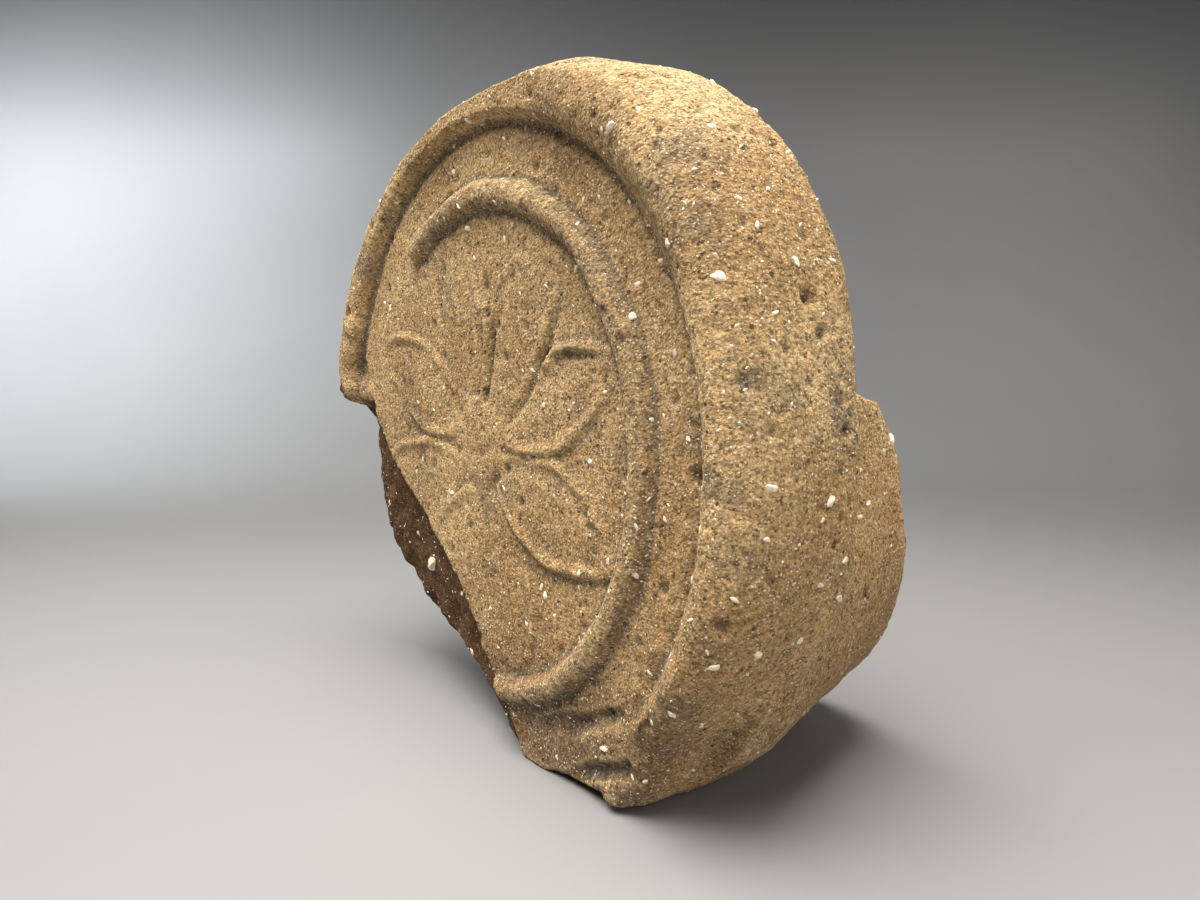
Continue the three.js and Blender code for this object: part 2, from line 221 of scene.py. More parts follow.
# Grooves and furrows, deeper towards the middle of each
RAVINES = [
    ([(0.14, 0.52, 0), (0.1, 0.38, 1), (0.05, 0.21, 1), (0.02, 0.14, 0)], 1.0, 1.6),
    ([(0.53, 0.40, 0), (0.42, 0.26, 1), (0.3, 0.14, 0.4), (0.24, 0.1, 0)], 0.7, 1.4),
    ([(0.27, -1.06, 0), (0.38, -1.04, 1), (0.52, -0.99, 0.6), (0.66, -0.96, 0)], 1.2, 2.4),
    ([(0.50, -1.22, 0), (0.62, -1.15, 1), (0.80, -1.10, 1), (0.92, -1.10, 0)], 1.5, 2.2),
    ([(-0.16, -0.02, 0), (0.0, -0.03, 1), (0.15, 0.04, 0)], 0.6, 2.0),
    ([(0.22, -0.03, 0), (0.36, -0.045, 1), (0.5, -0.05, 0)], 0.6, 1.2),
]
# The same as lines that the photograph shows: pixels across and down, share; depth and half width
FURROWS = [
    ([(535, 364, 0.3), (547, 357.5, 1), (567, 355.5, 1), (585, 356.5, 0.9), (605, 360, 0.3)],
     0.9, 1.1),
    ([(557, 277, 0), (557, 300, 0.7), (553, 325, 1), (547, 350, 1), (536, 366, 1), (524, 390, 0)],
     1.0, 1.2),
    ([(497, 306, 0), (494, 335, 1), (491, 355, 1), (484, 385, 1), (475, 398, 0)], 0.8, 1.4),
    ([(449, 254, 0), (443, 270, 1), (441, 290, 0.8), (443, 318, 0.9), (450, 328, 0)],
     1.1, 1.3),
    ([(567, 479, 0), (575, 490, 1), (583, 504, 1), (590, 514, 0)], 0.8, 1.3),
    ([(503, 472, 0), (512, 466, 1), (524, 463, 1), (540, 465, 0)], 0.7, 1.5),
    ([(487, 492, 0), (498, 480, 1), (505, 467, 1), (512, 458, 0)], 0.9, 1.3),
    ([(415, 345, 0), (428, 349, 1), (440, 358, 1), (450, 374, 0)], 0.8, 1.2),
    ([(392, 368, 0), (398, 388, 1), (409, 405, 1), (421, 418, 0)], 0.8, 1.2),
    ([(530, 248, 0), (538, 243, 1), (552, 243, 1), (560, 250, 0)], 0.6, 2.2),
    ([(558, 738, 0), (574, 727, 1), (591, 721, 1), (613, 718, 1), (626, 715, 0)], 2.4, 1.7),
    ([(513, 560, 0), (527, 566, 1), (541, 577, 1), (560, 583, 1), (590, 582, 0)], 0.5, 1.2),
]  # fmt: skip
# Where the break meets the face, in shares of the disc's radius
ARRIS = [
    (-1.02, 0.48), (-0.88, 0.29), (-0.8, 0.18), (-0.67, 0.14), (-0.575, -0.02), (-0.36, -0.185),
    (-0.16, -0.38), (-0.045, -0.545), (0.05, -0.655), (0.095, -0.76), (0.13, -0.83),
    (0.14, -1.1),
]  # fmt: skip
LOST_CORNERS = [(0.14, -3, 0), (-3, -3, 0), (-3, 0.48, 0)]
# Heights, depths and half widths in mm, shares, and where cord and scar run, in degrees
CORD_HALF = 3.5
CORD_HEIGHT = 2.8
CORD_DRIFT = 0.984
SCAR_HEIGHT = 0.8
RIDGE_OUTSIDE, RIDGE_INSIDE = 1.7, 2.0
PAD_SHARE = 0.4
BOSS_HEIGHT = 0.75
FURROW_DEPTH, FURROW_WIDTH = 0.62, 1.35
BAND_SUNK = 0.35
STEP_DOWN = 1.3
GROOVE_DEPTH, GROOVE_HALF = 0.9, 1.7
BEAD_PROUD, BEAD_RUN = 3.4, 1.9
CREST_SHARE = 0.42
CORD_FROM, CORD_TO = -101.0, 118.5
SCAR_FROM, SCAR_TO = 128.0, 176.0


def arc_distance(u, v, radius, low, high):
    """Distance from an arc about the face's centre, round its ends too."""
    r, a = np.hypot(u, v), np.degrees(np.arctan2(v, u))
    inside = (a > low) & (a < high)
    gap = np.where(inside, np.abs(r - radius), 1e9)
    for end in (low, high):
        x, y = radius * math.cos(math.radians(end)), radius * math.sin(math.radians(end))
        gap = np.minimum(gap, np.hypot(u - x, v - y))
    return gap


def relief(u, v):
    """Height of the face above its plane, and where the cord is painted dark, with soot and with
    shade.
    """
    flat = np.stack([u, np.zeros_like(u), v], axis=1)
    r, a = np.hypot(u, v), np.degrees(np.arctan2(v, u))
    wander = 0.55 * noise(flat + 11.0, 19.0)
    wide = CORD_HALF * (1 + 0.1 * noise(flat + 5.0, 13.0))
    gap = arc_distance(u, v, CORD_DRIFT * CORD_RADIUS + wander, CORD_FROM, CORD_TO)
    share = np.clip(gap / wide, 0, 1)
    cord = (1 - share**2.4) ** 0.85
    height = CORD_HEIGHT * cord * (1 + 0.12 * noise(flat + 3.0, 9.0))
    # where the cord has broken away it leaves a low scar with a step on its outer side
    scar_gap = r - (CORD_RADIUS + 1.5 + wander)
    scar = smooth(-scar_gap, -0.8, 0.6) * smooth(scar_gap, -9.0, -2.0)
    scar *= smooth(a, SCAR_FROM, SCAR_FROM + 8) * smooth(-a, -SCAR_TO, -SCAR_TO + 6)
    height = np.maximum(height, SCAR_HEIGHT * scar)

    bent_u, bent_v = u + 0.6 * wander, v - 0.6 * wander
    petal_height = np.zeros_like(u)
    for rise, outline in PETALS:
        line = curve_through(outline, closed=True)
        line[:, :2] *= CORD_RADIUS
        gap, left, inside = along_curve(bent_u, bent_v, line)
        ridge = rise * left * (1 + 0.35 * noise(flat + 7.0, 6.0))
        outer = ridge * np.clip(1 - (gap / RIDGE_OUTSIDE) ** 2, 0, 1) ** 1.5
        pad = PAD_SHARE * rise + 0.3 * smooth(gap, 1.5, 8.0)
        inner = pad + (ridge - pad) * np.clip(1 - (gap / RIDGE_INSIDE) ** 2, 0, 1) ** 1.5
        petal_height = np.maximum(petal_height, np.where(inside, inner, outer))
    bu, bv = u + 0.02 * CORD_RADIUS, v - 0.02 * CORD_RADIUS
    boss = smooth(-np.hypot(bu, bv), -0.22 * CORD_RADIUS, -0.13 * CORD_RADIUS)
    petal_height = np.maximum(petal_height, BOSS_HEIGHT * boss)
    height = np.maximum(height, petal_height)
    for points, depth, half in RAVINES:
        line = curve_through(points)
        line[:, :2] *= CORD_RADIUS
        gap, share, _ = along_curve(bent_u, bent_v, line)
        height -= depth * share * np.clip(1 - (gap / half) ** 2, 0, 1) ** 1.5
    for points, depth, half in FURROWS:
        line = curve_through([(*face_under(px, py), share) for px, py, share in points])
        gap, share, _ = along_curve(bent_u, bent_v, line)
        cut = np.clip(1 - (gap / (FURROW_WIDTH * half)) ** 2, 0, 1) ** 1.5
        height -= FURROW_DEPTH * depth * share * cut * (1 + 0.5 * noise(flat + 15.0, 3.0))
    band = smooth(r, 61.0, 66.0) * smooth(-r, -72.5, -67.0)
    height -= BAND_SUNK * band
    height += noise.layers(flat, [(26.0, 0.45), (11.0, 0.25), (5.0, 0.18), (2.2, 0.16)])
    # the cord is painted dark, partly as soot and partly as painted shade on its sides turned from
    # the light; only its edge that points up and to the left, towards the light, keeps its own
    # colour
    across = np.clip((r - CORD_DRIFT * CORD_RADIUS) / CORD_HALF, -1, 1)
    side = across * (0.9 * v - 0.45 * u) / (r + 1)
    sooty_and_shaded = smooth(cord, 0.02, 0.3) * smooth(-side, -0.75, -0.25)
    return height, sooty_and_shaded


# ---- The clay body
def copy_of_node(name):
    """The node's mesh as merged points and triangles, in millimetres."""
    bm = bmesh.new()
    bm.from_mesh(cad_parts[name].data)
    bmesh.ops.remove_doubles(bm, verts=bm.verts, dist=1e-7)
    p = np.array([v.co for v in bm.verts]) / MM
    faces = [[v.index for v in f.verts] for f in bm.faces]
    bm.free()
    return p, faces


def mesh_from(name, p, faces):
    mesh = bpy.data.meshes.new(name)
    mesh.from_pydata((p * MM).tolist(), [], faces)
    mesh.update()
    return mesh


def points_of(mesh):
    co = np.empty(len(mesh.vertices) * 3)
    mesh.vertices.foreach_get("co", co)
    return co.reshape(-1, 3) / MM


def normals_of(mesh):
    n = np.empty(len(mesh.vertices) * 3)
    mesh.vertex_normals.foreach_get("vector", n)
    return n.reshape(-1, 3)


def edges_of(mesh):
    e = np.empty(len(mesh.edges) * 2, int)
    mesh.edges.foreach_get("vertices", e)
    return e.reshape(-1, 2)


def averaged(values, edges, count):
    """Mean of each vertex's neighbours."""
    total = np.zeros((count,) + values.shape[1:])
    np.add.at(total, edges[:, 0], values[edges[:, 1]])
    np.add.at(total, edges[:, 1], values[edges[:, 0]])
    n = np.bincount(edges.ravel(), minlength=count).astype(float)
    return total / np.maximum(n, 1).reshape((-1,) + (1,) * (values.ndim - 1))


def relax(p, edges, rounds):
    """Smooths without shrinking."""
    for _ in range(rounds):
        for step in (0.5, -0.52):
            p = p + step * (averaged(p, edges, len(p)) - p)
    return p


def set_points(mesh, p):
    mesh.vertices.foreach_set("co", (p * MM).ravel())
    mesh.update()


def remeshed(name, p, faces):
    mesh = mesh_from(name, p, faces)
    obj = bpy.data.objects.new(name, mesh)
    bpy.context.scene.collection.objects.link(obj)
    mod = obj.modifiers.new("remesh", "REMESH")
    mod.mode = "VOXEL"
    mod.voxel_size = VOXEL * MM
    fine = bpy.data.meshes.new_from_object(
        obj.evaluated_get(bpy.context.evaluated_depsgraph_get())
    )
    bpy.data.objects.remove(obj)
    bpy.data.meshes.remove(mesh)
    return fine


def refine(mesh, wanted):
    """Splits the wanted faces in four."""
    bm = bmesh.new()
    bm.from_mesh(mesh)
    bm.faces.ensure_lookup_table()
    edges = {e for k in np.nonzero(wanted)[0] for e in bm.faces[k].edges}
    edges = sorted(edges, key=lambda e: e.index)
    bmesh.ops.subdivide_edges(bm, edges=edges, cuts=1, use_grid_fill=True)
    bm.to_mesh(mesh)
    bm.free()
    mesh.update()


def outer_radius(degrees):
    angles, growth = zip(*OUT_OF_ROUND)
    return DISC_RADIUS * (1 + np.interp(degrees, angles, growth))


def depth_inside(p):
    """How deep a point lies in the tile as it was before it broke: large on the breaks."""
    u, v, t = to_face(p)
    r, a = np.hypot(u, v), np.degrees(np.arctan2(v, u))
    outer = outer_radius(a)
    crest = GROOVE_RADIUS + CREST_SHARE * (outer - GROOVE_RADIUS)
    flank = np.hypot(
        np.clip((r - crest) / (outer - crest), 0, None),
        np.clip((RIM_SHOULDER - t) / (RIM_SHOULDER + RIM_PROUD), 0, None),
    )
    rim = np.where(t < RIM_SHOULDER, RIM_SHOULDER * (1 - flank), outer - r)
    inner = t + RIM_PROUD * smooth(r, GROOVE_RADIUS, crest)
    plate = np.minimum(np.minimum(np.where(r > crest, rim, inner), PLATE - t), outer - r)
    flare = FLARE * smooth(-a, 4.0, 38.0) * np.clip(1 - (t - PLATE) / FLARE_RUN, 0, 1) ** 1.15
    bore = BARREL_BORE - NECK * np.clip(1 - (t - PLATE) / NECK_RUN, 0, 1) ** 2
    wall = np.minimum(BARREL_RADIUS + flare - 1 - r, r - bore)
    # the barrel went round the lower half only, so the upper back has no scar
    wall = np.where(t > PLATE - 6, wall, 0.0) * smooth(-a, -17.0, -11.0)
    return np.maximum(plate, wall)


def clay_body():
    p, faces = copy_of_node("eave_tile")
    u, v, t = to_face(p)
    r = np.hypot(u, v)
    low = (r < GROOVE_RADIUS - 3.2) & (t < 1.6)
    low |= (r < GROOVE_RADIUS + 1.5) & (t < 1.2) & (t > 0.1)
    p[low, 1] = CENTRE[1]
    mesh = remeshed("eave_tile_clay", p, faces)
    edges = edges_of(mesh)
    p = relax(points_of(mesh), edges, 6)
    set_points(mesh, p)
    # finer faces where the photograph looks at the tile closely
    middles = np.array([f.center for f in mesh.polygons]) / MM
    facing = np.array([f.normal for f in mesh.polygons])
    seen = np.einsum("ij,ij->i", facing, np.array(CAMERA_AT) - middles) > -0.05
    _, _, t = to_face(middles)
    wanted = seen & (t < PLATE - 3) & (middles[:, 2] > 1.5)
    refine(mesh, wanted)
    edges = edges_of(mesh)
    p = relax(points_of(mesh), edges, 3)
    # the rim's crest is worn round, and the face's edge along the break stays crisp
    u, v, t = to_face(p)
    on_rim = smooth(np.hypot(u, v), GROOVE_RADIUS + 1.0, GROOVE_RADIUS + 4.0)
    on_rim *= smooth(-t, -RIM_SHOULDER - 3, -RIM_SHOULDER + 5)
    for _ in range(CREST_ROUNDS):
        p = p + 0.6 * on_rim[:, None] * (averaged(p, edges, len(p)) - p)
    # the stub's broken end loses the even notches that the solid has
    _, _, t = to_face(p)
    on_end = ((depth_inside(p) > 2.5) & (t > PLATE + 8)).astype(float)
    for _ in range(SPREAD_ROUNDS):
        on_end = np.maximum(on_end, averaged(on_end, edges, len(p)))
    for _ in range(END_ROUNDS):
        p = p + 0.5 * on_end[:, None] * (averaged(p, edges, len(p)) - p)
    set_points(mesh, p)
    return mesh, p, edges


body, points, links = clay_body()
normals = normals_of(body)
u, v, t = to_face(points)

inside = depth_inside(points)
arris = np.vstack([curve_through([(x, z, 0) for x, z in ARRIS]), LOST_CORNERS])
arris = np.vstack([arris, arris[:1]]) * DISC_RADIUS
ragged_u = u + 0.8 * noise(points, 5.0)
ragged_v = v + 0.8 * noise(points + 9, 4.0)
edge_gap, _, lost = along_curve(ragged_u, ragged_v, arris)
lost_share = np.where(lost, smooth(edge_gap, 0.0, 0.8), 0.0)
# the foot right of the break is worn, not freshly broken
foot_side = smooth(u, 9.0, 14.0) * smooth(-points[:, 2], -24.0, -14.0) * smooth(-t, -12.0, -4.0)
near_face = (np.hypot(u, v) < GROOVE_RADIUS - 2) & (t < PLATE / 2)
broken = smooth(inside, 1.2, 3.4)
broken_here = np.maximum(lost_share * smooth(t, -0.3, 0.1), smooth(inside, 3, 5))
broken = np.where(near_face, broken_here, broken)
broken *= 1 - foot_side
on_face = smooth(-normals[:, 1], 0.72, 0.96) * smooth(-np.abs(t), -2.5, -1.6) * (1 - lost_share)
step_down = lost_share * smooth(edge_gap, 0.0, 3.0) * smooth(-t, -4.0, -2.0) * smooth(t, -1.0, -0.2)
points[:, 1] += STEP_DOWN * step_down
# the second value is the cord's soot and painted shade
height, cord_soot_and_shade = relief(u, v)
radius = np.hypot(u, v)
groove = np.exp(-(((radius - GROOVE_RADIUS + 0.5) / GROOVE_HALF) ** 2)) * smooth(-t, -3.5, -1.5)
groove *= smooth(-normals[:, 1], 0.3, 0.6)
fade = 1 - smooth(radius, GROOVE_RADIUS - 2.5, GROOVE_RADIUS + 1.0)
angle = np.degrees(np.arctan2(v, u))
worn_rim = smooth(-angle, 40.0, 52.0) * smooth(angle, -110.0, -95.0)
fade = np.maximum(fade, worn_rim)
points[:, 1] += -on_face * fade * height + GROOVE_DEPTH * groove * (1 - worn_rim)
# the rim's upper part rises steeply out of the groove and is a low broad bead from there on
crest_gap = CREST_SHARE * (outer_radius(angle) - GROOVE_RADIUS)
over = radius - GROOVE_RADIUS
bead = -BEAD_PROUD * smooth(over, -0.4, BEAD_RUN)
front = points[:, 1] - CENTRE[1]
bead = np.where(over < crest_gap, bead, np.maximum(bead, front))
upper = smooth(angle, 35.0, 75.0) * smooth(over, -0.5, 0.5) * smooth(-t, -3.0, -1.0)
points[:, 1] += upper * (bead - front)
# at the upper left the rim is wider, so that its outline stays with the lower bead
widen = 1.25 * smooth(angle, 85.0, 165.0) * (RIM_PROUD - BEAD_PROUD)
widen *= smooth(over, 0.5, 3.5) * smooth(-t, -13.0, -2.0)
points[:, 0] += widen * np.cos(np.radians(angle) + LEAN)
points[:, 2] += widen * np.sin(np.radians(angle) + LEAN)

# Chips and lumps where the photograph has them: pixel across and down, size and height in mm
MARKS = [
    (352, 330, 5.0, 1.6), (349, 352, 5.5, 1.4), (357, 388, 5.0, 1.8), (372, 392, 4.0, 1.0),
    (364, 366, 4.5, -1.2), (347, 312, 2.6, -1.4), (810, 297, 2.0, -2.4), (822, 333, 1.8, -1.2),
    (478, 393, 1.6, -0.8), (508, 470, 1.6, -0.8), (580, 500, 2.0, -0.8), (487, 393, 2.2, -1.0),
    (640, 690, 4.0, 0.8), (655, 650, 5.0, 0.6), (748, 383, 2.6, -0.8), (845, 430, 2.4, -0.8),
    (700, 480, 3.0, -0.9), (690, 520, 2.4, -0.6), (612, 145, 3.0, -0.7), (655, 230, 2.6, -0.8),
    (668, 270, 2.4, -0.7), (400, 560, 4.0, -2.0), (428, 585, 4.0, 1.6), (396, 500, 5.0, 1.5),
    (455, 615, 4.5, -1.6), (575, 795, 4.0, -1.5), (612, 800, 4.0, 1.0), (770, 730, 6.0, -1.0),
]  # fmt: skip
# and grey patches, mostly soot; those low on the foot are painted shade as well: the same, with how
# dark
SOOT_AND_SHADE_MARKS = [
    (845, 385, 8, 0.9), (748, 375, 5, 1.0), (795, 395, 4, 0.7), (668, 750, 10, 0.4),
    (560, 745, 16, 0.5), (600, 772, 14, 0.5), (540, 715, 8, 0.4), (362, 262, 8, 0.7),
    (710, 480, 4, 0.6), (735, 560, 5, 0.5), (845, 420, 5, 0.8), (670, 710, 10, 0.7),
    (668, 180, 9, 0.5), (690, 210, 6, 0.5), (712, 232, 6, 0.5),
    (382, 212, 8, 0.7), (415, 165, 7, 0.55), (352, 345, 9, 0.6), (362, 385, 8, 0.7),
    (700, 435, 7, 0.6), (706, 490, 7, 0.6), (668, 250, 6, 0.6), (640, 185, 6, 0.5),
    (610, 140, 6, 0.4), (700, 792, 14, 0.3), (760, 745, 12, 0.5), (640, 800, 12, 0.4),
    (850, 440, 8, 0.5), (755, 560, 6, 0.2), (735, 500, 5, 0.3), (825, 330, 6, 0.4),
    (487, 393, 4, 0.7), (566, 353, 6, 0.5), (690, 640, 10, 0.3), (800, 690, 12, 0.35),
]  # fmt: skip


def body_tree():
    return BVHTree.FromPolygons((points * MM).tolist(), [list(f.vertices) for f in body.polygons])


def pixel_hit(tree, px, py):
    hit, normal, _, _ = tree.ray_cast(CAMERA_AT * MM, pixel_ray(px, py))
    return (np.array(hit) / MM, np.array(normal)) if hit else (None, None)


def marked(marks):
    """The sum of soft spots on the surface, with a ragged edge."""
    tree = body_tree()
    total = np.zeros(len(points))
    ragged = 1 + 0.35 * noise(points + 70, 4.0)
    for px, py, size, value in marks:
        at, _ = pixel_hit(tree, px, py)
        if at is not None:
            gap = np.linalg.norm(points - at, axis=1) * ragged / size
            total += value * np.clip(1 - gap**2, 0, 1) ** 2
    return total


# weathering along the surface: soft on the old skin, lumpy on the breaks and on the stub's end
set_points(body, points)
normals = normals_of(body)
back = smooth(t, PLATE - 4, PLATE + 4)
skin = noise.layers(points, [(17.0, 0.45), (7.0, 0.2), (3.0, 0.14), (1.7, 0.14)])
lumpy = noise.layers(points + 50, [(13.0, 1.3), (6.0, 0.9), (3.2, 0.5), (2.0, 0.25)])
lumpy += 0.8 * noise.lumps(points, 4.6) + 0.5 * noise.lumps(points + 9, 2.6) - 0.8
plain = (1 - on_face) * (1 - broken)
move = skin * plain + lumpy * broken * (0.85 + 0.4 * back)
points += normals * (move + marked(MARKS))[:, None]
soot_and_shade = np.clip(marked(SOOT_AND_SHADE_MARKS) * 1.3, 0, 1)


def scatter(mesh, count, rng):
    """Faces drawn at random, by area."""
    areas = np.array([f.area for f in mesh.polygons])
    total = np.cumsum(areas) / areas.sum()
    return np.searchsorted(total, rng.random(count))


def pits(mesh, p, n, count, rng):
    """Small holes where grit has fallen out."""
    tree = KDTree(len(p))
    for k, point in enumerate(p):
        tree.insert(point, k)
    tree.balance()
    centres = np.array([f.center for f in mesh.polygons]) / MM
    for k in scatter(mesh, count, rng):
        size = rng.uniform(0.8, 1.7)
        depth = size * rng.uniform(0.35, 0.6)
        for _, index, gap in tree.find_range(centres[k], size):
            p[index] -= n[index] * depth * (1 - (gap / size) ** 2)
    return p


rng = np.random.default_rng(SEED)
set_points(body, points)
normals = normals_of(body)
points = pits(body, points, normals, PIT_COUNT, rng)
points[:, 2] = np.maximum(points[:, 2], 0.0)
set_points(body, points)
normals = normals_of(body)

# how far each place stands out from or lies below what is round it
level = points.copy()
for _ in range(LEVEL_ROUNDS):
    level = averaged(level, links, len(level))
bulge = np.einsum("ij,ij->i", points - level, normals)


# ---- Grit in the clay
# pixel across and down, size in mm, how white
BIG_GRIT = [
    (433, 565, 4.6, 0.75), (419, 533, 2.0, 0.6), (633, 316, 2.4, 0.95), (590, 461, 2.2, 0.9),
    (519, 540, 1.6, 0.7), (417, 472, 1.6, 0.7), (636, 527, 1.9, 0.8), (579, 573, 1.6, 0.8),
    (635, 575, 2.0, 0.85), (713, 667, 3.2, 1.0), (604, 749, 2.6, 0.7), (557, 757, 1.6, 0.6),
    (671, 715, 2.2, 0.8), (645, 781, 1.6, 0.7), (891, 440, 3.0, 0.95), (772, 488, 2.4, 0.9),
    (830, 502, 2.6, 0.95), (860, 517, 2.2, 0.9), (757, 655, 2.8, 0.95), (718, 275, 4.0, 0.75),
    (611, 127, 3.2, 0.8), (668, 243, 2.6, 0.85), (459, 207, 2.2, 0.9), (709, 79, 1.4, 0.8),
    (788, 152, 1.4, 0.7), (712, 126, 2.0, 0.8), (741, 146, 1.6, 0.7), (675, 353, 2.0, 0.8),
    (546, 286, 1.3, 0.9), (578, 223, 1.6, 0.9), (501, 389, 1.3, 0.8), (757, 225, 1.8, 0.7),
    (796, 262, 2.2, 0.8), (820, 585, 2.0, 0.8), (845, 560, 1.8, 0.8), (700, 530, 1.8, 0.7),
    (690, 620, 1.8, 0.7), (735, 600, 2.0, 0.8), (860, 470, 1.6, 0.8), (800, 640, 1.8, 0.7),
    (760, 700, 1.6, 0.6), (605, 392, 1.3, 0.9), (652, 420, 1.4, 0.7), (648, 500, 1.5, 0.7),
]  # fmt: skip
SMALL_GRIT = 2450

ICO_T = (1 + 5**0.5) / 2
ICO_POINTS = np.array(
    [(-1, ICO_T, 0), (1, ICO_T, 0), (-1, -ICO_T, 0), (1, -ICO_T, 0), (0, -1, ICO_T),
     (0, 1, ICO_T), (0, -1, -ICO_T), (0, 1, -ICO_T), (ICO_T, 0, -1), (ICO_T, 0, 1),
     (-ICO_T, 0, -1), (-ICO_T, 0, 1)]
) / math.hypot(1, ICO_T)  # fmt: skip
ICO_FACES = [
    (0, 11, 5), (0, 5, 1), (0, 1, 7), (0, 7, 10), (0, 10, 11), (1, 5, 9), (5, 11, 4),
    (11, 10, 2), (10, 7, 6), (7, 1, 8), (3, 9, 4), (3, 4, 2), (3, 2, 6), (3, 6, 8), (3, 8, 9),
    (4, 9, 5), (2, 4, 11), (6, 2, 10), (8, 6, 7), (9, 8, 1),
]  # fmt: skip


def split_once(p, faces):
    """Each triangle into four, on the unit sphere."""
    p = list(map(tuple, p))
    seen, out = {}, []

    def middle(a, b):
        key = (min(a, b), max(a, b))
        if key not in seen:
            m = (np.array(p[a]) + np.array(p[b])) / 2
            p.append(tuple(m / np.linalg.norm(m)))
            seen[key] = len(p) - 1
        return seen[key]

    for a, b, c in faces:
        ab, bc, ca = middle(a, b), middle(b, c), middle(c, a)
        out += [(a, ab, ca), (b, bc, ab), (c, ca, bc), (ab, bc, ca)]
    return np.array(p), out


ROUND = split_once(ICO_POINTS, ICO_FACES)
SHARD = (
    np.array([(1, 0, 0), (-1, 0, 0), (0, 1, 0), (0, -1, 0), (0, 0, 1), (0, 0, -1)], float),
    [(0, 2, 4), (2, 1, 4), (1, 3, 4), (3, 0, 4), (2, 0, 5), (1, 2, 5), (3, 1, 5), (0, 3, 5)],
)


def pebble(at, normal, size, rng):
    """An angular grain, a little more than half of it in the clay."""
    base, faces = SHARD if size < 1.3 else ROUND
    p = base.copy()
    for _ in range(7 if size > 1.3 else 1):
        cut = rng.normal(size=3)
        cut /= np.linalg.norm(cut)
        over = np.clip(p @ cut - rng.uniform(0.45, 0.8), 0, None)
        p -= over[:, None] * cut
    flat = np.array([1, rng.uniform(0.4, 0.85), rng.uniform(0.35, 0.6)])
    p *= np.where(size > 4, np.maximum(flat, 0.85), flat) * size / 2
    z = normal / np.linalg.norm(normal)
    x = np.cross(z, rng.normal(size=3))
    x /= np.linalg.norm(x)
    y = np.cross(z, x)
    sunk = -rng.uniform(0.0, 0.08) * size
    return at + z * sunk + p @ np.stack([x, y, z]), faces


def all_grit():
    tree = body_tree()
    rows, faces, whites = [], [], []
    offset = len(points)

    def add(at, normal, size, white):
        nonlocal offset
        p, f = pebble(at, normal, size, rng)
        rows.append(p)
        whites.extend([white] * len(p))
        faces.extend([[offset + k for k in one] for one in f])
        offset += len(p)

    for px, py, size, white in BIG_GRIT:
        at, normal = pixel_hit(tree, px, py)
        if at is not None:
            add(at, normal, size, white)
    middles = np.array([f.center for f in body.polygons]) / MM
    facing = np.array([f.normal for f in body.polygons])
    sizes = 0.6 + 0.55 * rng.random(SMALL_GRIT) ** 2.0 + 1.4 * rng.random(SMALL_GRIT) ** 12
    for k, size in zip(scatter(body, SMALL_GRIT, rng), sizes):
        add(middles[k], facing[k], size, rng.uniform(0.4, 1.0))
    grit = np.vstack(rows)
    grit[:, 2] = np.maximum(grit[:, 2], 0.0)
    return grit, faces, np.array(whites)


grit_points, grit_faces, grit_white = all_grit()

# ---- One piece of clay and grit
clay_faces = [list(f.vertices) for f in body.polygons]
whole = mesh_from("eave_tile_clay", np.vstack([points, grit_points]), clay_faces + grit_faces)
whole.polygons.foreach_set("material_index", [0] * len(clay_faces) + [1] * len(grit_faces))
whole.polygons.foreach_set("use_smooth", [True] * len(clay_faces) + [False] * len(grit_faces))


def attribute(name, clay_values, grit_values):
    layer = whole.attributes.new(name, "FLOAT", "POINT")
    layer.data.foreach_set("value", np.concatenate([clay_values, grit_values]).astype(np.float32))


zeros = np.zeros(len(grit_points))
attribute("broken", broken, zeros)
attribute("bulge", np.clip(0.5 + bulge * 0.9, 0, 1), zeros + 0.5)
# grey soot patches with painted shade: low on the foot, and on the cord's sides turned from the
# light
attribute("soot_and_shade", np.clip(soot_and_shade + 0.8 * cord_soot_and_shade * on_face, 0, 1), zeros)
attribute("stub", smooth(t, PLATE - 2, PLATE + 8), zeros)
attribute("face", on_face * (radius < GROOVE_RADIUS), zeros)
# painted top light: places high on the tile that face up are made paler, as light from above falls
# on them
attribute("painted_top_light", smooth(normals[:, 2], 0.55, 0.95) * smooth(points[:, 2], 95.0, 130.0), zeros)
# darker towards the bottom: painted shade, with some grime as well
attribute("low", np.clip(1 - points[:, 2] / 62.0, 0, 1), zeros)
# darker at the front of the foot: painted shade, with soot as well
attribute("foot", smooth(-points[:, 2], -34.0, -14.0) * smooth(-t, -9.0, -1.0), zeros)
attribute("white", np.zeros(len(points)), grit_white)
tile = bpy.data.objects.new("eave_tile_clay", whole)
bpy.context.scene.collection.objects.link(tile)


# ---- Materials
OCHRE = (0.39, 0.249, 0.110)
SAND = (0.545, 0.378, 0.182)
RUST = (0.37, 0.205, 0.088)
BROWN = (0.29, 0.168, 0.070)
BUFF_TOP_LIGHT = (0.66, 0.53, 0.30)
RED = (0.46, 0.285, 0.125)
UMBER_SHADE_AND_GRIME = (0.20, 0.100, 0.041)
FOOT_SHADE_AND_GRIME = (0.15, 0.09, 0.042)
ASH = (0.140, 0.112, 0.080)
RAW = (0.098, 0.048, 0.018)
RAW_STUB = (0.24, 0.135, 0.06)
CREAM = (0.86, 0.74, 0.54)
PIT_SHADE_AND_DARK_GRAIN = (0.045, 0.028, 0.016)
GRIT_DULL = (0.50, 0.35, 0.19)
GRIT_WHITE = (0.90, 0.82, 0.66)
GRIT_STAIN = (0.46, 0.32, 0.18)
FLOOR_DARK = (0.26, 0.26, 0.262)
FLOOR_LIGHT = (0.28, 0.279, 0.278)


